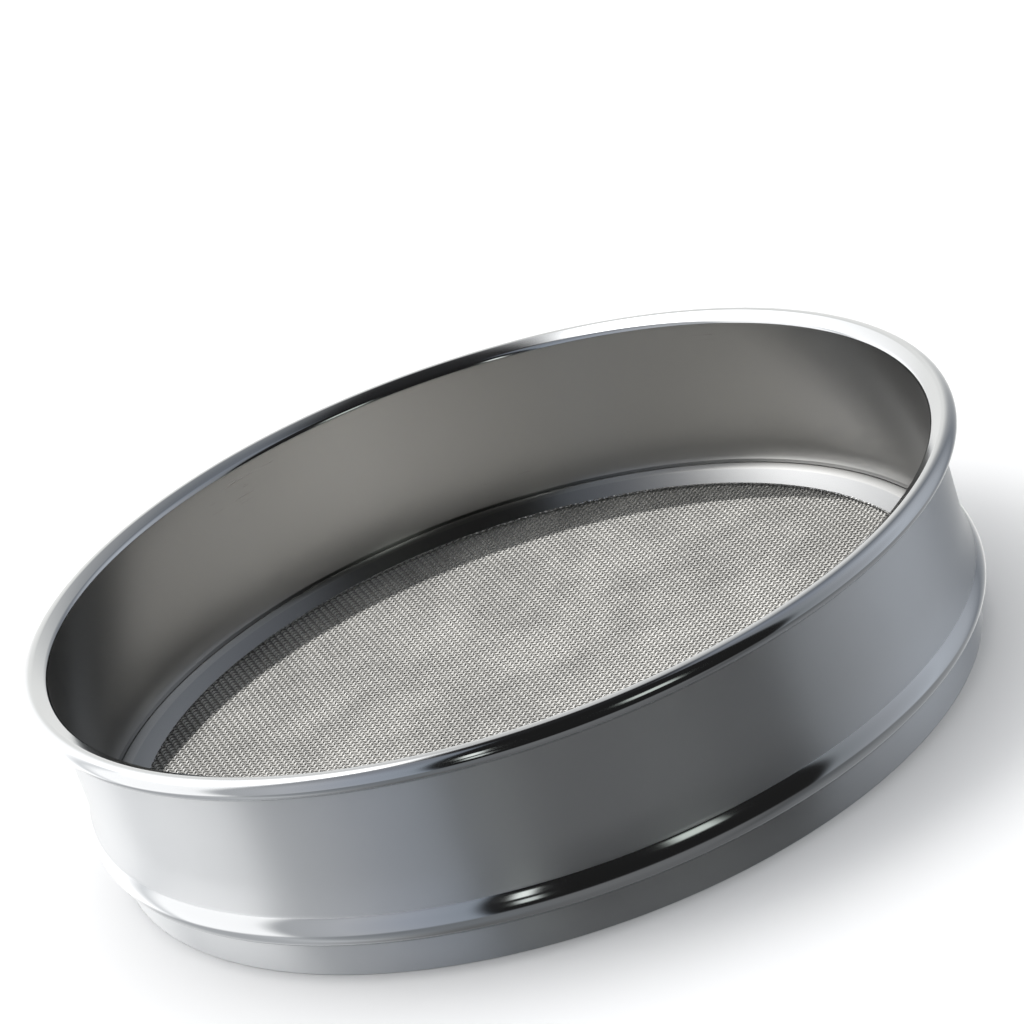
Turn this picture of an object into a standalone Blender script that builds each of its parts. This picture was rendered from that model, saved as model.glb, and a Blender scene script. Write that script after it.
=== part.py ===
"""A 200 mm laboratory sieve: rolled-rim frame, nesting skirt, wire cloth and the rings that clamp it.

Every piece is a turned ring or disc about the Z axis. Z = 0 is the face the sieve stands on.
"""

import math

import bpy

MM = 0.001

# ---- driving dimensions, in millimetres
SEGMENTS = 72  # flat facets round every ring
SHEET = 0.8  # thickness of the spun steel sheet
GAP = 0.3  # running gap between pieces that touch
BORE_RADIUS = 100.0  # inside of the frame wall, the nominal 200 mm
HEIGHT = 49.5  # from the skirt's foot to the top of the rolled rim

ROLL_RADIUS = 2.5  # outside radius of the rolled rim's round section
ROLL_CENTRE_RADIUS = 103.2
ROLL_END_DEG = -118.0  # the curl stops here, just clear of the wall
ROLL_CREST_ROUND = 0.6  # the sheet's middle turns this tightly at the top of the curl
MOUTH_SLOPE_DEG = 30.0  # from the crest the curl falls inward at this slope
MOUTH_ROUND = 1.0  # and rounds into the wall
ROLL_STEPS = 8
CREST_STEPS = 2
MOUTH_STEPS = 3

FLARE_TOP = 23.0  # the wall starts to spread here, going down
BEAD_EDGE = 15.4  # crease where the spread wall meets the swaged bead
BEAD_CREST = 11.8
BEAD_CREST_RADIUS = 103.0
BEAD_UPPER_ROUND = 6.2
BEAD_LOWER_ROUND = 4.6
BEAD_LIP_DEG = 70.0  # the bead's lower lip turns under by this angle
FLARE_STEPS = 3
BEAD_UPPER_STEPS = 3
BEAD_LOWER_STEPS = 6
FILL_BOTTOM = 10.9  # inside, the wall stays straight down to here and the spread behind it is filled

SKIRT_RADIUS = 99.4  # outside; it drops into another sieve's 200 mm mouth
SKIRT_TOP = 9.4
SKIRT_EDGE_ROUND = 0.15  # the foot keeps a flat between two small rounds

WIRE = 0.45  # cloth wire diameter
WIRE_PITCH = 1.16  # from one wire to the next, both ways: a 0.71 mm opening
CLOTH_MIDDLE = 7.4  # height of the cloth's middle plane
CLOTH_RADIUS = 97.9

SEAT_INNER_RADIUS = 93.4
SEAT_LEG_FOOT = 3.4

RING_INNER_RADIUS = 92.3
RING_EDGE_RADIUS = 99.75
RING_TOP = 10.5
RING_EDGE_ROUND = 0.35
RING_CREST_RADIUS = 98.4
RING_CREST_FALL = 0.095  # the rounded crest drops by this much, times the distance squared
RING_SLOPE_RADIUS = 96.4  # the crest runs into a straight slope here
RING_CREST_STEPS = 5


def material(name, colour, roughness, metallic=1.0):
    made = bpy.data.materials.new(name)
    made.use_nodes = True
    shader = made.node_tree.nodes["Principled BSDF"]
    shader.inputs["Base Color"].default_value = (*colour, 1.0)
    shader.inputs["Roughness"].default_value = roughness
    shader.inputs["Metallic"].default_value = metallic
    return made


def arc(centre, radius, start_deg, end_deg, steps):
    """Points (r, z) along an arc, both ends included."""
    points = []
    for i in range(steps + 1):
        angle = math.radians(start_deg + (end_deg - start_deg) * i / steps)
        points.append((centre[0] + radius * math.cos(angle), centre[1] + radius * math.sin(angle)))
    return points


def offset(points, distance):
    """The same open outline moved sideways, to the left of its direction."""
    moved = []
    for i, (r, z) in enumerate(points):
        before = points[max(i - 1, 0)]
        after = points[min(i + 1, len(points) - 1)]
        dr, dz = after[0] - before[0], after[1] - before[1]
        length = math.hypot(dr, dz)
        moved.append((r - dz / length * distance, z + dr / length * distance))
    return moved


def turned(name, outline, finish):
    """A closed ring: the closed outline of (r, z) points in millimetres, turned about Z."""
    verts, faces = [], []
    count = len(outline)
    for i in range(SEGMENTS):
        angle = 2 * math.pi * i / SEGMENTS
        for r, z in outline:
            verts.append((r * MM * math.cos(angle), r * MM * math.sin(angle), z * MM))
    for i in range(SEGMENTS):
        here, there = i * count, (i + 1) % SEGMENTS * count
        for j in range(count):
            k = (j + 1) % count
            faces.append((here + j, there + j, there + k, here + k))
    return finished(name, verts, faces, finish)


def disc(name, radius, bottom, top, finish):
    """A plain round plate about Z, sizes in millimetres."""
    verts = []
    for z in (bottom, top):
        for i in range(SEGMENTS):
            angle = 2 * math.pi * i / SEGMENTS
            verts.append((radius * MM * math.cos(angle), radius * MM * math.sin(angle), z * MM))
    faces = [tuple(reversed(range(SEGMENTS))), tuple(range(SEGMENTS, 2 * SEGMENTS))]
    for i in range(SEGMENTS):
        j = (i + 1) % SEGMENTS
        faces.append((i, j, SEGMENTS + j, SEGMENTS + i))
    return finished(name, verts, faces, finish)


def finished(name, verts, faces, finish):
    mesh = bpy.data.meshes.new(name)
    mesh.from_pydata(verts, [], faces)
    mesh.validate()
    mesh.shade_smooth()
    mesh.set_sharp_from_angle(angle=math.radians(35))
    mesh.materials.append(finish)
    made = bpy.data.objects.new(name, mesh)
    bpy.context.collection.objects.link(made)
    return made


def rolled_rim():
    """The curl's middle line: round outside, tight at the crest, then a slope that rounds into the wall."""
    half = SHEET / 2
    middle, slope = ROLL_CENTRE_RADIUS, math.radians(MOUTH_SLOPE_DEG)
    slope_end_deg = 90.0 + MOUTH_SLOPE_DEG
    curl = arc((middle, HEIGHT - ROLL_RADIUS), ROLL_RADIUS - half, ROLL_END_DEG, 90.0, ROLL_STEPS)
    crest_centre = (middle, HEIGHT - half - ROLL_CREST_ROUND)
    crest = arc(crest_centre, ROLL_CREST_ROUND, 90.0, slope_end_deg, CREST_STEPS)
    corner_middle = BORE_RADIUS + half + MOUTH_ROUND
    corner_start = corner_middle - MOUTH_ROUND * math.sin(slope)
    fall = (crest[-1][0] - corner_start) * math.tan(slope)
    corner_centre = (corner_middle, crest[-1][1] - fall - MOUTH_ROUND * math.cos(slope))
    corner = arc(corner_centre, MOUTH_ROUND, slope_end_deg, 180.0, MOUTH_STEPS)
    return curl + crest[1:] + corner


def wall_middle_line():
    """The middle of the frame's sheet, from the curl's free end down to the bead's lip."""
    half = SHEET / 2
    wall_radius = BORE_RADIUS + half
    crest = (BEAD_CREST_RADIUS - half, BEAD_CREST)
    upper_round, lower_round = BEAD_UPPER_ROUND - half, BEAD_LOWER_ROUND - half
    upper_centre = (crest[0] - upper_round, BEAD_CREST)
    edge_angle = math.degrees(math.asin((BEAD_EDGE - BEAD_CREST) / upper_round))
    upper = arc(upper_centre, upper_round, edge_angle, 0.0, BEAD_UPPER_STEPS)
    lower = arc((crest[0] - lower_round, BEAD_CREST), lower_round, 0.0, -BEAD_LIP_DEG, BEAD_LOWER_STEPS)

    spread = upper[0][0] - wall_radius
    drop = FLARE_TOP - BEAD_EDGE
    flare_round = (drop**2 + spread**2) / (2 * spread)
    flare = []
    for i in range(FLARE_STEPS):
        down = drop * i / FLARE_STEPS
        flare.append((wall_radius + flare_round - math.sqrt(flare_round**2 - down**2), FLARE_TOP - down))
    return rolled_rim() + flare + upper + lower[1:]


def straight_inside(inside):
    """The frame's inner outline, kept at the bore's radius down to FILL_BOTTOM."""
    above = [point for point in inside if point[1] > FLARE_TOP]
    below = [point for point in inside if point[1] < FILL_BOTTOM - GAP]
    return above + [(BORE_RADIUS, FILL_BOTTOM), (below[0][0], FILL_BOTTOM)] + below


def upper_frame(finish):
    middle = wall_middle_line()
    inside, outside = offset(middle, -SHEET / 2), offset(middle, SHEET / 2)
    outline = straight_inside(inside) + list(reversed(outside))
    return turned("upper_frame", outline, finish)


def nesting_skirt(finish):
    outer, inner = SKIRT_RADIUS, SKIRT_RADIUS - SHEET
    nick = SKIRT_EDGE_ROUND
    outline = [
        (inner, nick),
        (inner + nick, 0.0),
        (outer - nick, 0.0),
        (outer, nick),
        (outer, SKIRT_TOP),
        (inner, SKIRT_TOP),
    ]
    return turned("nesting_skirt", outline, finish)


def cloth_seat_ring(finish):
    top = CLOTH_MIDDLE - WIRE - GAP
    outer = SKIRT_RADIUS - SHEET - GAP
    outline = [
        (SEAT_INNER_RADIUS, top - SHEET),
        (outer - SHEET, top - SHEET),
        (outer - SHEET, SEAT_LEG_FOOT),
        (outer, SEAT_LEG_FOOT),
        (outer, top),
        (SEAT_INNER_RADIUS, top),
    ]
    return turned("cloth_seat_ring", outline, finish)


def wire_cloth(finish):
    """A plain plate as thick as the woven wires would be if they were rolled flat."""
    steepness = math.pi * WIRE / 2 / WIRE_PITCH
    crimp = 1 + steepness**2 / 4
    thickness = 2 * math.pi / 4 * WIRE**2 / WIRE_PITCH * crimp
    return disc("wire_cloth", CLOTH_RADIUS, CLOTH_MIDDLE - thickness / 2, CLOTH_MIDDLE + thickness / 2, finish)


def retaining_ring(finish):
    bottom = CLOTH_MIDDLE + WIRE + GAP
    outer = SKIRT_RADIUS - SHEET - GAP
    lip_bottom = SKIRT_TOP + GAP
    lip_centre = (RING_EDGE_RADIUS - RING_EDGE_ROUND, lip_bottom + RING_EDGE_ROUND)
    lip = arc(lip_centre, RING_EDGE_ROUND, -90.0, 90.0, 5)
    crest = []
    for i in range(1, RING_CREST_STEPS + 1):
        radius = lip_centre[0] + (RING_SLOPE_RADIUS - lip_centre[0]) * i / RING_CREST_STEPS
        crest.append((radius, RING_TOP - RING_CREST_FALL * (radius - RING_CREST_RADIUS) ** 2))
    steepness = 2 * RING_CREST_FALL * (RING_CREST_RADIUS - RING_SLOPE_RADIUS)
    nose = (RING_INNER_RADIUS, crest[-1][1] - steepness * (RING_SLOPE_RADIUS - RING_INNER_RADIUS))
    outline = [(RING_INNER_RADIUS, bottom), (outer, bottom), (outer, lip_bottom)] + lip + crest + [nose]
    return turned("retaining_ring", outline, finish)


def build():
    for old in list(bpy.data.objects):
        bpy.data.objects.remove(old, do_unlink=True)
    satin = material("satin_steel", (0.42, 0.43, 0.44), 0.32)
    polished = material("polished_steel", (0.62, 0.63, 0.64), 0.12)
    cloth = material("steel_wire_cloth", (0.55, 0.54, 0.51), 0.4)
    upper_frame(satin)
    nesting_skirt(satin)
    cloth_seat_ring(polished)
    wire_cloth(cloth)
    retaining_ring(polished)


build()
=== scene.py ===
"""The looks of a 200 mm laboratory sieve: turned steel rings, woven wire cloth, studio and camera."""

import math
import random

import bpy
import numpy as np
from mathutils import Matrix, Vector


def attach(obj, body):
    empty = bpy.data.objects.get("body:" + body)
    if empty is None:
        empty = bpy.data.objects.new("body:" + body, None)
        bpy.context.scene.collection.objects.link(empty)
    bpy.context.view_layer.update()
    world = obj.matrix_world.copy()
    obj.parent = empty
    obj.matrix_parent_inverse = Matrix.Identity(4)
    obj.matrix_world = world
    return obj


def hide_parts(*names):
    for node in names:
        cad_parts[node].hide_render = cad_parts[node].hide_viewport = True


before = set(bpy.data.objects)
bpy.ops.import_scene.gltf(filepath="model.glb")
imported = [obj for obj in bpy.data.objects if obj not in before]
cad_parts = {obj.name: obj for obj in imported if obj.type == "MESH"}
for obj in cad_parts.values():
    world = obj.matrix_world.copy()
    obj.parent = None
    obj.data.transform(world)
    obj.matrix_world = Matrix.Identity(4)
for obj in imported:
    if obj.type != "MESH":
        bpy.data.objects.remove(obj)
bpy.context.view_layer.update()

MM = 0.001
BODY = "root"

# ---- the sieve, in millimetres, as the CAD model has it
SHEET = 0.8
GAP = 0.3
BORE_RADIUS = 100.0
HEIGHT = 49.5

ROLL_RADIUS = 2.5
ROLL_CENTRE_RADIUS = 103.2
ROLL_END_DEG = -118.0
ROLL_CREST_ROUND = 0.6
MOUTH_SLOPE_DEG = 30.0
MOUTH_ROUND = 1.0

FLARE_TOP = 23.0
BEAD_EDGE = 15.4
BEAD_CREST = 11.8
BEAD_CREST_RADIUS = 103.0
BEAD_UPPER_ROUND = 6.2
BEAD_LOWER_ROUND = 4.6
BEAD_LIP_DEG = 70.0
FILL_BOTTOM = 10.9

SKIRT_RADIUS = 99.4
SKIRT_TOP = 9.4
SKIRT_EDGE_ROUND = 0.15

WIRE = 0.45
WIRE_PITCH = 1.16
CLOTH_MIDDLE = 7.4
CLOTH_RADIUS = 97.9

SEAT_INNER_RADIUS = 93.4
SEAT_LEG_FOOT = 3.4
SEAT_EDGE_ROUND = 0.3  # the looks alone have this; the CAD model's seat has square corners

RING_INNER_RADIUS = 92.3
RING_EDGE_RADIUS = 99.75
RING_TOP = 10.5
RING_EDGE_ROUND = 0.35
RING_CREST_RADIUS = 98.4
RING_CREST_FALL = 0.095
RING_SLOPE_RADIUS = 96.4

# ---- how finely the looks are built
SEGMENTS = 384
ROLL_STEPS = 32
CREST_STEPS = 6
MOUTH_STEPS = 10
WALL_STEPS = 12
FLARE_STEPS = 14
BEAD_UPPER_STEPS = 10
BEAD_LOWER_STEPS = 16
RING_LIP_STEPS = 12
RING_CREST_STEPS = 14
CORNER_STEPS = 3
SHARP_DEG = 30.0  # edges that turn by more than this are shaded as creases

# ---- the cloth
CLOTH_TURN_DEG = 57.3  # the warp wires' direction from +X
WIRE_SIDES = 6
STEPS_PER_PITCH = 4
WIRES_PER_PIECE = 24
CROSSING_LIFT = 1.02  # of half a wire, so that crossing wires don't quite touch
SHORTEST_END_STEP = 0.05  # in millimetres, at a wire's two ends
SPACING_JITTER = 0.018  # share of the pitch
SEED = 7

# ---- marks in the metal; noise scales are per metre
GRAIN_ROUND = 1.5  # per radian, along the marks that turning leaves
GRAIN_ACROSS = 4000.0
GRAIN_HEIGHT = 0.00002  # in metres
GRAIN_STRENGTH = 0.06
CLOUD_SCALE = 38.0
CLOUD_SHADE = 0.93  # the darker patches' share of the colour
QUARTER_TURN = 0.25  # of the direction in which highlights stretch
WIRE_PATCH_SCALE = 60.0
WIRE_PATCH_SHADE = 0.78  # likewise
WIRE_GRAIN_SCALE = 1800.0
WIRE_ROUGHNESS_SPREAD = 0.06

# ---- the camera
VIEW_ELEVATION_DEG = 22.64
VIEW_ROLL_DEG = -19.07
VIEW_DISTANCE = 0.780  # in metres, from the centre of the mouth
SENSOR_WIDTH = 36.0
FOCAL_LENGTH = 126.13  # in millimetres, like the sensor
SHIFT = (0.0325, 0.0096)

# ---- the floor, in metres
FLOOR_REACH = 12.0
FLOOR_DROP = 0.0002  # keeps it clear of the sieve's foot


# ------------------------------------------------------------------ outlines
def arc(centre, radius, start_deg, end_deg, steps):
    """Points (r, z) along an arc, both ends included."""
    points = []
    for i in range(steps + 1):
        angle = math.radians(start_deg + (end_deg - start_deg) * i / steps)
        points.append((centre[0] + radius * math.cos(angle), centre[1] + radius * math.sin(angle)))
    return points


def offset(points, distance):
    """The same open outline moved sideways, to the left of its direction."""
    moved = []
    for i, (r, z) in enumerate(points):
        before = points[max(i - 1, 0)]
        after = points[min(i + 1, len(points) - 1)]
        dr, dz = after[0] - before[0], after[1] - before[1]
        length = math.hypot(dr, dz)
        moved.append((r - dz / length * distance, z + dr / length * distance))
    return moved


def rolled_rim():
    """The curl's middle line: round outside, tight at the crest, then a slope that rounds into the wall."""
    half = SHEET / 2
    middle, slope = ROLL_CENTRE_RADIUS, math.radians(MOUTH_SLOPE_DEG)
    slope_end_deg = 90.0 + MOUTH_SLOPE_DEG
    curl = arc((middle, HEIGHT - ROLL_RADIUS), ROLL_RADIUS - half, ROLL_END_DEG, 90.0, ROLL_STEPS)
    crest_centre = (middle, HEIGHT - half - ROLL_CREST_ROUND)
    crest = arc(crest_centre, ROLL_CREST_ROUND, 90.0, slope_end_deg, CREST_STEPS)
    corner_middle = BORE_RADIUS + half + MOUTH_ROUND
    corner_start = corner_middle - MOUTH_ROUND * math.sin(slope)
    fall = (crest[-1][0] - corner_start) * math.tan(slope)
    corner_centre = (corner_middle, crest[-1][1] - fall - MOUTH_ROUND * math.cos(slope))
    corner = arc(corner_centre, MOUTH_ROUND, slope_end_deg, 180.0, MOUTH_STEPS)
    return curl + crest[1:] + corner


def wall_middle_line():
    """The middle of the frame's sheet, from the curl's free end down to the bead's lip."""
    half = SHEET / 2
    wall_radius = BORE_RADIUS + half
    wall_top = HEIGHT - ROLL_RADIUS
    wall = []
    for i in range(1, WALL_STEPS):
        wall.append((wall_radius, wall_top + (FLARE_TOP - wall_top) * i / WALL_STEPS))

    crest = (BEAD_CREST_RADIUS - half, BEAD_CREST)
    upper_round, lower_round = BEAD_UPPER_ROUND - half, BEAD_LOWER_ROUND - half
    upper_centre = (crest[0] - upper_round, BEAD_CREST)
    edge_angle = math.degrees(math.asin((BEAD_EDGE - BEAD_CREST) / upper_round))
    upper = arc(upper_centre, upper_round, edge_angle, 0.0, BEAD_UPPER_STEPS)
    lower = arc((crest[0] - lower_round, BEAD_CREST), lower_round, 0.0, -BEAD_LIP_DEG, BEAD_LOWER_STEPS)

    spread = upper[0][0] - wall_radius
    drop = FLARE_TOP - BEAD_EDGE
    flare_round = (drop**2 + spread**2) / (2 * spread)
    flare = []
    for i in range(FLARE_STEPS):
        down = drop * i / FLARE_STEPS
        flare.append((wall_radius + flare_round - math.sqrt(flare_round**2 - down**2), FLARE_TOP - down))
    return rolled_rim() + wall + flare + upper + lower[1:]


def rounded(outline, radius):
    """A closed outline with each corner rounded off. Its sides are longer than twice the radius."""
    made = []
    count = len(outline)
    for i, point in enumerate(outline):
        here = Vector(point)
        back, ahead = Vector(outline[i - 1]) - here, Vector(outline[(i + 1) % count]) - here
        start, end = here + back.normalized() * radius, here + ahead.normalized() * radius
        for k in range(CORNER_STEPS + 1):
            t = k / CORNER_STEPS
            made.append(tuple(start * (1 - t) ** 2 + here * (2 * t * (1 - t)) + end * t**2))
    return made


def seat_outline():
    top = CLOTH_MIDDLE - WIRE - GAP
    outer = SKIRT_RADIUS - SHEET - GAP
    outline = [
        (SEAT_INNER_RADIUS, top - SHEET),
        (outer - SHEET, top - SHEET),
        (outer - SHEET, SEAT_LEG_FOOT),
        (outer, SEAT_LEG_FOOT),
        (outer, top),
        (SEAT_INNER_RADIUS, top),
    ]
    return rounded(outline, SEAT_EDGE_ROUND)


def skirt_outline():
    outer, inner = SKIRT_RADIUS, SKIRT_RADIUS - SHEET
    outline = [(inner, 0.0), (outer, 0.0), (outer, SKIRT_TOP), (inner, SKIRT_TOP)]
    return rounded(outline, SKIRT_EDGE_ROUND)


def ring_outline():
    bottom = CLOTH_MIDDLE + WIRE + GAP
    outer = SKIRT_RADIUS - SHEET - GAP
    lip_bottom = SKIRT_TOP + GAP
    lip_centre = (RING_EDGE_RADIUS - RING_EDGE_ROUND, lip_bottom + RING_EDGE_ROUND)
    lip = arc(lip_centre, RING_EDGE_ROUND, -90.0, 90.0, RING_LIP_STEPS)
    crest = []
    for i in range(1, RING_CREST_STEPS + 1):
        radius = lip_centre[0] + (RING_SLOPE_RADIUS - lip_centre[0]) * i / RING_CREST_STEPS
        crest.append((radius, RING_TOP - RING_CREST_FALL * (radius - RING_CREST_RADIUS) ** 2))
    steepness = 2 * RING_CREST_FALL * (RING_CREST_RADIUS - RING_SLOPE_RADIUS)
    nose = (RING_INNER_RADIUS, crest[-1][1] - steepness * (RING_SLOPE_RADIUS - RING_INNER_RADIUS))
    return [(RING_INNER_RADIUS, bottom), (outer, bottom), (outer, lip_bottom)] + lip + crest + [nose]


# ------------------------------------------------------------------ meshes
def mesh_object(name, verts, faces, materials, face_materials=None):
    """A mesh from an array of points in millimetres, and faces that list the numbers of their corners."""
    mesh = bpy.data.meshes.new(name)
    mesh.from_pydata([tuple(v) for v in verts * MM], [], faces)
    mesh.validate()
    mesh.shade_smooth()
    mesh.set_sharp_from_angle(angle=math.radians(SHARP_DEG))
    for material in materials:
        mesh.materials.append(material)
    if face_materials is not None:
        mesh.polygons.foreach_set("material_index", face_materials)
    made = bpy.data.objects.new(name, mesh)
    bpy.context.scene.collection.objects.link(made)
    return made


def turned(name, outline, materials, edge_materials=None):
    """A closed outline of (r, z) points turned about Z. edge_materials numbers each edge's material."""
    count = len(outline)
    angles = np.arange(SEGMENTS) * 2 * np.pi / SEGMENTS
    r = np.array([p[0] for p in outline])
    z = np.array([p[1] for p in outline])
    verts = np.empty((SEGMENTS, count, 3))
    verts[:, :, 0] = np.cos(angles)[:, None] * r
    verts[:, :, 1] = np.sin(angles)[:, None] * r
    verts[:, :, 2] = z
    faces = []
    for i in range(SEGMENTS):
        here, there = i * count, (i + 1) % SEGMENTS * count
        for j in range(count):
            k = (j + 1) % count
            faces.append((here + j, there + j, there + k, here + k))
    numbers = list(edge_materials) * SEGMENTS if edge_materials else None
    return mesh_object(name, verts.reshape(-1, 3), faces, materials, numbers)


def add_piece(piece, slot_name, *nodes):
    """Hands a piece to the frame, with the CAD nodes that it replaces."""
    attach(piece, BODY)
    if nodes:
        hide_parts(*nodes)
    return piece


# ------------------------------------------------------------------ the cloth
def wire_points(across, half_length, parity, rng):
    """The middle line of one wire: along X at a distance across, woven over and under."""
    step = WIRE_PITCH / STEPS_PER_PITCH
    count = int(half_length / step)
    x = np.arange(-count, count + 1) * step
    between = x[np.abs(x) < half_length - SHORTEST_END_STEP]
    x = np.concatenate([[-half_length], between, [half_length]])
    lift = WIRE / 2 * CROSSING_LIFT
    phase = np.pi * x / WIRE_PITCH
    z = parity * lift * np.cos(phase)
    slope = -parity * lift * np.pi / WIRE_PITCH * np.sin(phase)
    drift = rng.uniform(-1, 1) * SPACING_JITTER * WIRE_PITCH
    bow = rng.uniform(-1, 1) * SPACING_JITTER * WIRE_PITCH
    y = across + drift + bow * np.cos(x / CLOTH_RADIUS * np.pi)
    return x, y, z, slope


def wire_mesh(lines):
    """Vertices and faces of the wires, each a six-sided tube with closed ends."""
    verts, faces = [], []
    base = 0
    corner = np.arange(WIRE_SIDES)
    next_corner = (corner + 1) % WIRE_SIDES
    ring = corner * 2 * np.pi / WIRE_SIDES + np.pi / 2
    for x, y, z, slope in lines:
        count = len(x)
        length = np.sqrt(1 + slope**2)
        up = np.stack([-slope / length, np.zeros(count), 1 / length], axis=1)
        side = np.array([0.0, 1.0, 0.0])
        centre = np.stack([x, y, z], axis=1)
        tube = (
            centre[:, None, :]
            + WIRE / 2 * np.sin(ring)[None, :, None] * up[:, None, :]
            + WIRE / 2 * np.cos(ring)[None, :, None] * side
        )
        verts.append(tube.reshape(-1, 3))
        row = base + np.arange(count - 1)[:, None] * WIRE_SIDES
        here, beside = row + corner, row + next_corner
        quads = np.stack([here, beside, beside + WIRE_SIDES, here + WIRE_SIDES], axis=2)
        faces.extend(quads.reshape(-1, 4).tolist())
        faces.append([base + k for k in reversed(range(WIRE_SIDES))])
        faces.append([base + (count - 1) * WIRE_SIDES + k for k in range(WIRE_SIDES)])
        base += count * WIRE_SIDES
    return np.concatenate(verts), faces


def wire_cloth(warp, weft):
    """Plain-weave cloth: warp and weft wires, in pieces of two dozen wires or fewer."""
    rng = random.Random(SEED)
    reach = int(CLOTH_RADIUS / WIRE_PITCH)
    pieces = []
    for label, turn_deg, sign, material in (("warp", 0.0, 1, warp), ("weft", 90.0, -1, weft)):
        lines = []
        for i in range(-reach, reach + 1):
            across = i * WIRE_PITCH
            half_length = math.sqrt(CLOTH_RADIUS**2 - across**2)
            parity = sign * (1 if i % 2 == 0 else -1)
            lines.append(wire_points(across, half_length, parity, rng))
        turn = np.array(Matrix.Rotation(math.radians(CLOTH_TURN_DEG + turn_deg), 3, "Z"))
        for number, start in enumerate(range(0, len(lines), WIRES_PER_PIECE), 1):
            verts, faces = wire_mesh(lines[start : start + WIRES_PER_PIECE])
            verts = verts @ turn.T + np.array([0.0, 0.0, CLOTH_MIDDLE])
            piece = mesh_object(f"cloth_{label}_{number}", verts, faces, [material])
            replaced = [] if pieces else ["wire_cloth"]
            pieces.append(add_piece(piece, "cloth_wire", *replaced))
    return pieces


# ------------------------------------------------------------------ materials
class Nodes:
    """Short ways to add shader nodes to one tree."""

    def __init__(self, tree):
        self.tree = tree

    def new(self, kind, **settings):
        node = self.tree.nodes.new(kind)
        for key, value in settings.items():
            setattr(node, key, value)
        return node

    def feed(self, socket, value):
        if isinstance(value, bpy.types.NodeSocket):
            self.tree.links.new(value, socket)
        else:
            socket.default_value = value

    def math(self, operation, a, b=0.0):
        node = self.new("ShaderNodeMath", operation=operation)
        self.feed(node.inputs[0], a)
        self.feed(node.inputs[1], b)
        return node.outputs[0]

    def range(self, value, low, high, to_low=0.0, to_high=1.0):
        """A smooth step from to_low to to_high, as the value goes from low to high."""
        node = self.new("ShaderNodeMapRange", interpolation_type="SMOOTHSTEP")
        self.feed(node.inputs["Value"], value)
        node.inputs["From Min"].default_value = low
        node.inputs["From Max"].default_value = high
        node.inputs["To Min"].default_value = to_low
        node.inputs["To Max"].default_value = to_high
        return node.outputs["Result"]

    def mix(self, share, a, b):
        node = self.new("ShaderNodeMix", data_type="RGBA")
        self.feed(node.inputs["Factor"], share)
        self.feed(node.inputs["A"], a)
        self.feed(node.inputs["B"], b)
        return node.outputs["Result"]

    def noise(self, vector, scale, detail, roughness):
        node = self.new("ShaderNodeTexNoise")
        self.feed(node.inputs["Vector"], vector)
        node.inputs["Scale"].default_value = scale
        node.inputs["Detail"].default_value = detail
        node.inputs["Roughness"].default_value = roughness
        return node.outputs["Fac"]

    def round_the_axis(self, along, up):
        """Coordinates (angle x along, radius x up, height x up), for marks that run round the sieve."""
        place = self.new("ShaderNodeTexCoord").outputs["Object"]
        parts = self.new("ShaderNodeSeparateXYZ")
        self.feed(parts.inputs[0], place)
        x, y, z = parts.outputs
        angle = self.math("ARCTAN2", y, x)
        squares = self.math("ADD", self.math("MULTIPLY", x, x), self.math("MULTIPLY", y, y))
        radius = self.math("SQRT", squares)
        joined = self.new("ShaderNodeCombineXYZ")
        self.feed(joined.inputs[0], self.math("MULTIPLY", angle, along))
        self.feed(joined.inputs[1], self.math("MULTIPLY", radius, up))
        self.feed(joined.inputs[2], self.math("MULTIPLY", z, up))
        return joined.outputs[0]


def steel(name, colour, roughness, anisotropic=0.2, grain=0.03, blotch=0.02, metallic=1.0):
    """Turned or polished sheet steel: marks round the axis, and faint cloudy patches."""
    made = bpy.data.materials.new(name)
    made.use_nodes = True
    n = Nodes(made.node_tree)
    shader = made.node_tree.nodes["Principled BSDF"]
    shader.inputs["Metallic"].default_value = metallic
    shader.inputs["Anisotropic"].default_value = anisotropic
    shader.inputs["Anisotropic Rotation"].default_value = QUARTER_TURN
    tangent = n.new("ShaderNodeTangent", direction_type="RADIAL", axis="Z")
    n.feed(shader.inputs["Tangent"], tangent.outputs[0])

    place = n.new("ShaderNodeTexCoord").outputs["Object"]
    lines = n.noise(n.round_the_axis(GRAIN_ROUND, GRAIN_ACROSS), scale=1.0, detail=3.0, roughness=0.6)
    clouds = n.noise(place, CLOUD_SCALE, detail=4.0, roughness=0.55)
    rough_lines = n.math("MULTIPLY", n.math("SUBTRACT", lines, 0.5), grain)
    rough_clouds = n.math("MULTIPLY", n.math("SUBTRACT", clouds, 0.5), blotch)
    n.feed(shader.inputs["Roughness"], n.math("ADD", n.math("ADD", rough_lines, rough_clouds), roughness))

    darker = tuple(c * CLOUD_SHADE for c in colour)
    n.feed(shader.inputs["Base Color"], n.mix(clouds, (*darker, 1.0), (*colour, 1.0)))

    bump = n.new("ShaderNodeBump")
    bump.inputs["Strength"].default_value = GRAIN_STRENGTH
    bump.inputs["Distance"].default_value = GRAIN_HEIGHT
    n.feed(bump.inputs["Height"], lines)
    n.feed(shader.inputs["Normal"], bump.outputs[0])
    return made


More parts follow.
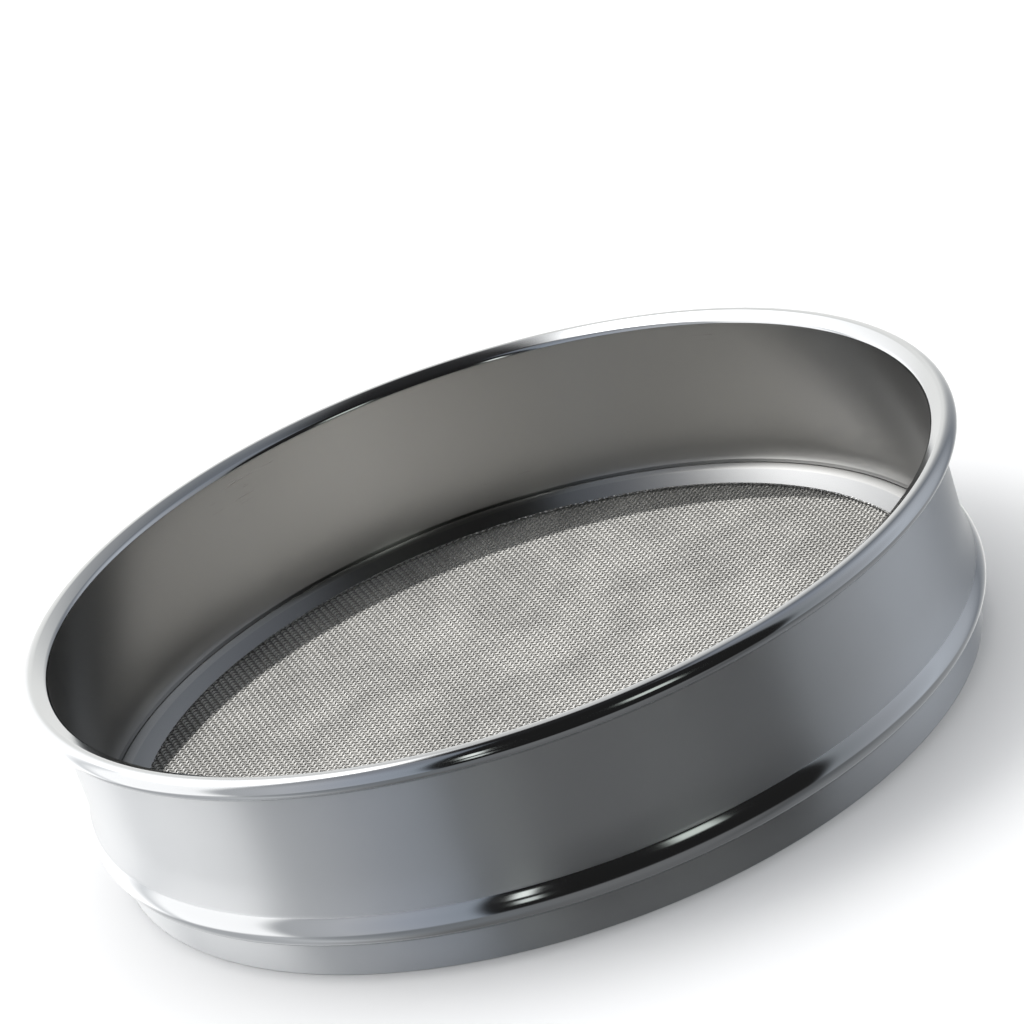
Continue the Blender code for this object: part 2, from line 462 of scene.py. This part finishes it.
def drawn_wire(name, colour, roughness, metallic):
    """Drawn steel wire: dull, with darker patches and a fine grain."""
    made = bpy.data.materials.new(name)
    made.use_nodes = True
    n = Nodes(made.node_tree)
    shader = made.node_tree.nodes["Principled BSDF"]
    shader.inputs["Metallic"].default_value = metallic
    place = n.new("ShaderNodeTexCoord").outputs["Object"]
    patches = n.noise(place, WIRE_PATCH_SCALE, detail=5.0, roughness=0.6)
    fine = n.noise(place, WIRE_GRAIN_SCALE, detail=2.0, roughness=0.5)
    darker = tuple(c * WIRE_PATCH_SHADE for c in colour)
    n.feed(shader.inputs["Base Color"], n.mix(n.range(patches, 0.3, 0.7), (*darker, 1.0), (*colour, 1.0)))
    smoothest, roughest = roughness - WIRE_ROUGHNESS_SPREAD, roughness + WIRE_ROUGHNESS_SPREAD
    n.feed(shader.inputs["Roughness"], n.range(fine, 0.2, 0.8, smoothest, roughest))
    return made


# ------------------------------------------------------------------ the studio
STEEL_REFLECTANCE = 0.66  # the share of the light that polished steel sends back


def seen(shade):
    """Light that steel mirrors back as this display shade (0-255), through the sRGB curve."""
    light = []
    for value in shade:
        v = value / 255
        linear = v / 12.92 if v <= 0.04045 else ((v + 0.055) / 1.055) ** 2.4
        light.append(linear / STEEL_REFLECTANCE)
    return (*light, 1.0)


# Azimuth in degrees from +X, and what polished steel shows when it mirrors that side of the studio.
# Shades over 255 are brighter than the picture can show.
LOW_WALLS = [
    (-180, (252, 252, 252)),
    (-174, (248, 248, 248)),
    (-168, (160, 162, 164)),
    (-152, (166, 168, 172)),
    (-135, (146, 151, 160)),
    (-120, (130, 137, 146)),
    (-117, (26, 26, 26)),
    (-33, (28, 28, 28)),
    (-29, (116, 120, 124)),
    (-12, (140, 143, 148)),
    (10, (166, 171, 178)),
    (28, (154, 158, 164)),
    (44, (112, 116, 122)),
    (58, (150, 152, 154)),
    (75, (216, 216, 214)),
    (105, (222, 222, 220)),
    (118, (256, 256, 256)),
    (141, (262, 262, 262)),
    (148, (206, 208, 210)),
    (155, (256, 256, 256)),
    (180, (252, 252, 252)),
]
HIGH_WALLS = [
    (-180, (290, 290, 290)),
    (-168, (128, 130, 134)),
    (-135, (118, 122, 130)),
    (-120, (112, 118, 126)),
    (-117, (26, 26, 26)),
    (-33, (28, 28, 28)),
    (-29, (104, 107, 112)),
    (5, (122, 127, 136)),
    (44, (98, 102, 108)),
    (60, (150, 151, 152)),
    (80, (190, 190, 189)),
    (105, (190, 190, 189)),
    (125, (285, 285, 285)),
    (140, (400, 400, 400)),
    (168, (400, 400, 400)),
    (180, (290, 290, 290)),
]
FLOORS = [
    (-180, (174, 176, 178)),
    (-165, (137, 140, 143)),
    (-144, (112, 115, 119)),
    (-120, (101, 104, 107)),
    (-100, (100, 101, 102)),
    (-55, (96, 97, 98)),
    (-36, (78, 79, 80)),
    (-22, (88, 90, 92)),
    (6, (116, 118, 120)),
    (48, (132, 134, 136)),
    (70, (164, 166, 168)),
    (90, (184, 185, 187)),
    (125, (184, 185, 186)),
    (140, (162, 164, 166)),
    (160, (162, 164, 166)),
    (180, (174, 176, 178)),
]
DEEP_FLOOR = (92, 93, 94)
ZENITH = (32, 32, 33)

# elevations in degrees between which one part of the studio passes into the next
DEEP_FLOOR_BLEND = (-75.0, -50.0)
FLOOR_BLEND = (-34.0, -27.0)
WALL_BLEND = (20.0, 60.0)
ZENITH_BLEND = (66.0, 78.0)

# lit panels: middle azimuth, half width, low and high elevation and soft edge, in degrees, and shade
PANELS = [
    (-108.0, 2.4, 8.0, 27.0, 1.5, (235, 240, 236)),
    (-107.0, 2.6, -13.0, -1.0, 1.5, (200, 206, 202)),
    (-66.0, 6.0, 12.0, 32.0, 3.0, (190, 197, 191)),
]


def azimuth_ramp(n, azimuth, stops):
    """The light of one band of the studio. The azimuth runs from 0, at -180 degrees, to 1, at 180."""
    node = n.new("ShaderNodeValToRGB")
    elements = node.color_ramp.elements
    while len(elements) > 1:
        elements.remove(elements[0])
    for i, (degrees, shade) in enumerate(stops):
        place = (degrees + 180) / 360
        element = elements[0] if i == 0 else elements.new(place)
        element.position = place
        element.color = seen(shade)
    n.feed(node.inputs["Fac"], azimuth)
    return node.outputs["Color"]


def panel(n, azimuth_deg, elevation_deg, middle, half_width, low, high, soft):
    """How far a direction lies inside a lit panel, 0 to 1."""
    aside = n.math("ABSOLUTE", n.math("SUBTRACT", azimuth_deg, middle))
    inside = n.range(aside, half_width - soft, half_width + soft, 1.0, 0.0)
    above = n.range(elevation_deg, low - soft, low + soft)
    below = n.range(elevation_deg, high - soft, high + soft, 1.0, 0.0)
    return n.math("MULTIPLY", inside, n.math("MULTIPLY", above, below))


def studio_world():
    """Light and dark walls, a floor and a dark zenith, by direction. The camera itself sees plain white."""
    world = bpy.data.worlds.new("studio")
    bpy.context.scene.world = world
    world.use_nodes = True
    n = Nodes(world.node_tree)
    background = world.node_tree.nodes["Background"]
    parts = n.new("ShaderNodeSeparateXYZ")
    n.feed(parts.inputs[0], n.new("ShaderNodeTexCoord").outputs["Generated"])
    x, y, z = parts.outputs
    degrees = 180 / math.pi
    azimuth_deg = n.math("MULTIPLY", n.math("ARCTAN2", y, x), degrees)
    elevation_deg = n.math("MULTIPLY", n.math("ARCSINE", z), degrees)
    azimuth = n.math("ADD", n.math("DIVIDE", azimuth_deg, 360.0), 0.5)

    low_walls = azimuth_ramp(n, azimuth, LOW_WALLS)
    high_walls = azimuth_ramp(n, azimuth, HIGH_WALLS)
    walls = n.mix(n.range(elevation_deg, *WALL_BLEND), low_walls, high_walls)
    floors = azimuth_ramp(n, azimuth, FLOORS)
    light = n.mix(n.range(elevation_deg, *FLOOR_BLEND), floors, walls)
    light = n.mix(n.range(elevation_deg, *DEEP_FLOOR_BLEND, 1.0, 0.0), light, seen(DEEP_FLOOR))
    light = n.mix(n.range(elevation_deg, *ZENITH_BLEND), light, seen(ZENITH))
    for *place, shade in PANELS:
        light = n.mix(panel(n, azimuth_deg, elevation_deg, *place), light, seen(shade))

    seen_by_camera = n.new("ShaderNodeLightPath").outputs["Is Camera Ray"]
    light = n.mix(seen_by_camera, light, (1.0, 1.0, 1.0, 1.0))
    n.feed(background.inputs["Color"], light)


def floor():
    """A pale floor that takes the sieve's shadow. The steel mirrors the studio's own floor in its place."""
    mesh = bpy.data.meshes.new("floor")
    reach = FLOOR_REACH
    corners = [(-reach, -reach, 0), (reach, -reach, 0), (reach, reach, 0), (-reach, reach, 0)]
    mesh.from_pydata(corners, [], [(0, 1, 2, 3)])
    made = bpy.data.objects.new("floor", mesh)
    bpy.context.scene.collection.objects.link(made)
    made.location = (0, 0, -FLOOR_DROP)
    made.visible_glossy = False
    material = bpy.data.materials.new("pale_floor")
    material.use_nodes = True
    shader = material.node_tree.nodes["Principled BSDF"]
    shader.inputs["Base Color"].default_value = (0.9, 0.9, 0.9, 1.0)
    shader.inputs["Roughness"].default_value = 1.0
    shader.inputs["Specular IOR Level"].default_value = 0.0
    mesh.materials.append(material)
    return made


def direction(azimuth_deg, elevation_deg):
    """The unit vector from the sieve towards this azimuth, from +X, and elevation."""
    a, e = math.radians(azimuth_deg), math.radians(elevation_deg)
    return Vector((math.cos(e) * math.cos(a), math.cos(e) * math.sin(a), math.sin(e)))


def sun(name, azimuth_deg, elevation_deg, strength, angle_deg):
    """A sun lamp that shines from this direction and is this wide across."""
    light = bpy.data.lights.new(name, "SUN")
    light.energy = strength
    light.angle = math.radians(angle_deg)
    made = bpy.data.objects.new(name, light)
    bpy.context.scene.collection.objects.link(made)
    made.rotation_mode = "QUATERNION"
    made.rotation_quaternion = (-direction(azimuth_deg, elevation_deg)).to_track_quat("-Z", "Y")
    return made


def only_lights(light, name, receivers):
    """The light falls on these objects alone; everything still casts a shadow."""
    group = bpy.data.collections.new(name)
    for receiver in receivers:
        group.objects.link(receiver)
    light.light_linking.receiver_collection = group


def camera():
    """The camera looks towards the centre of the mouth from the -Y side, rolled about its own axis."""
    data = bpy.data.cameras.new("camera")
    data.sensor_width = SENSOR_WIDTH
    data.lens = FOCAL_LENGTH
    data.shift_x, data.shift_y = SHIFT
    data.clip_start, data.clip_end = 0.01, 100.0
    made = bpy.data.objects.new("camera", data)
    bpy.context.scene.collection.objects.link(made)
    elevation, roll = math.radians(VIEW_ELEVATION_DEG), math.radians(VIEW_ROLL_DEG)
    back = Vector((0, -math.cos(elevation), math.sin(elevation)))
    up = Vector((0, math.sin(elevation), math.cos(elevation)))
    right = Vector((1, 0, 0))
    across = math.cos(roll) * right + math.sin(roll) * up
    upright = -math.sin(roll) * right + math.cos(roll) * up
    place = Vector((0, 0, HEIGHT * MM)) + VIEW_DISTANCE * back
    turn = Matrix((across, upright, back)).transposed()
    made.matrix_world = Matrix.Translation(place) @ turn.to_4x4()
    bpy.context.scene.camera = made


# ------------------------------------------------------------------ the object
def straight_inside(inside):
    """The frame's inner outline, kept at the bore's radius down to FILL_BOTTOM."""
    above = [point for point in inside if point[1] > FLARE_TOP]
    below = [point for point in inside if point[1] < FILL_BOTTOM - GAP]
    wall = []
    for i in range(WALL_STEPS + 1):
        wall.append((BORE_RADIUS, FLARE_TOP + (FILL_BOTTOM - FLARE_TOP) * i / WALL_STEPS))
    return above + wall + [(below[0][0], FILL_BOTTOM)] + below


def frame_sheet(satin, polished, inner):
    """The frame, with its rolled rim and bead polished and its wall satin inside and out; the inside is a
    darker copy of the satin, painted shade.
    """
    middle = wall_middle_line()
    inside, outside = straight_inside(offset(middle, -SHEET / 2)), offset(middle, SHEET / 2)
    outline = inside + list(reversed(outside))
    on_satin, on_polished, on_shaded_inside = range(3)
    rim_edges = ROLL_STEPS + CREST_STEPS + MOUTH_STEPS - 1
    edge_material_numbers = [on_polished] * rim_edges + [on_shaded_inside] * (len(inside) - rim_edges)
    outside_first = len(inside)
    for (_, z), (_, next_z) in zip(outline[outside_first:], outline[outside_first + 1 :] + outline[:1]):
        edge_material_numbers.append(on_polished if (z + next_z) / 2 < BEAD_EDGE else on_satin)
    return turned("frame_sheet", outline, [satin, polished, inner], edge_material_numbers)


def clamp_ring(painted_crest, plain):
    """The clamp ring, with its rounded crest painted brighter than the slope inside it: a painted highlight
    on the same steel.
    """
    outline = ring_outline()
    on_painted_crest, on_plain = range(2)
    edge_material_numbers = []
    for (r, _), (next_r, _) in zip(outline, outline[1:] + outline[:1]):
        edge_material_numbers.append(on_painted_crest if (r + next_r) / 2 > RING_SLOPE_RADIUS else on_plain)
    return turned("clamp_ring", outline, [painted_crest, plain], edge_material_numbers)


def build():
    """The whole sieve. Returns the cloth's pieces, because one lamp lights them alone."""
    satin = steel(
        "satin_steel",
        (0.60, 0.61, 0.62),
        roughness=0.36,
        anisotropic=0.8,
        grain=0.05,
        blotch=0.03,
        metallic=0.84,
    )
    # the inside wall is the same satin steel painted darker: painted shade inside the frame
    inner = steel(
        "satin_steel_inside_painted_shade",
        (0.365, 0.362, 0.354),
        roughness=0.29,
        anisotropic=0.7,
        grain=0.05,
        blotch=0.05,
    )
    polished = steel("polished_steel", (0.66, 0.67, 0.68), roughness=0.10)
    # the ring's crest is the slope's steel painted near white: a painted highlight
    painted_crest = steel("ring_crest_painted_highlight", (0.97, 0.97, 0.965), roughness=0.16)
    plain = steel("plain_ring_slope", (0.80, 0.81, 0.825), roughness=0.11)
    # warp and weft are one steel: the warp is painted lighter as a painted highlight on its crowns, the
    # weft painted darker as painted shade
    warp = drawn_wire("drawn_warp_wire_painted_highlight", (0.76, 0.745, 0.712), roughness=0.47, metallic=0.55)
    weft = drawn_wire("drawn_weft_wire_painted_shade", (0.37, 0.363, 0.343), roughness=0.57, metallic=0.7)

    add_piece(frame_sheet(satin, polished, inner), "satin_frame", "upper_frame")
    add_piece(turned("skirt_band", skirt_outline(), [satin]), "satin_skirt", "nesting_skirt")
    add_piece(turned("seat_ring", seat_outline(), [polished]), "seat_steel", "cloth_seat_ring")
    add_piece(clamp_ring(painted_crest, plain), "ring_steel", "retaining_ring")
    return wire_cloth(warp, weft)


cloth = build()
studio_world()
ground = floor()
key = sun("key_light", azimuth_deg=100.0, elevation_deg=61.0, strength=6.0, angle_deg=1.5)
only_lights(key, "key_light_falls_on", cloth)
overhead = sun("floor_light", azimuth_deg=90.0, elevation_deg=88.0, strength=2.1, angle_deg=100.0)
only_lights(overhead, "floor_light_falls_on", [ground])
camera()
bpy.context.scene.view_settings.view_transform = "Standard"
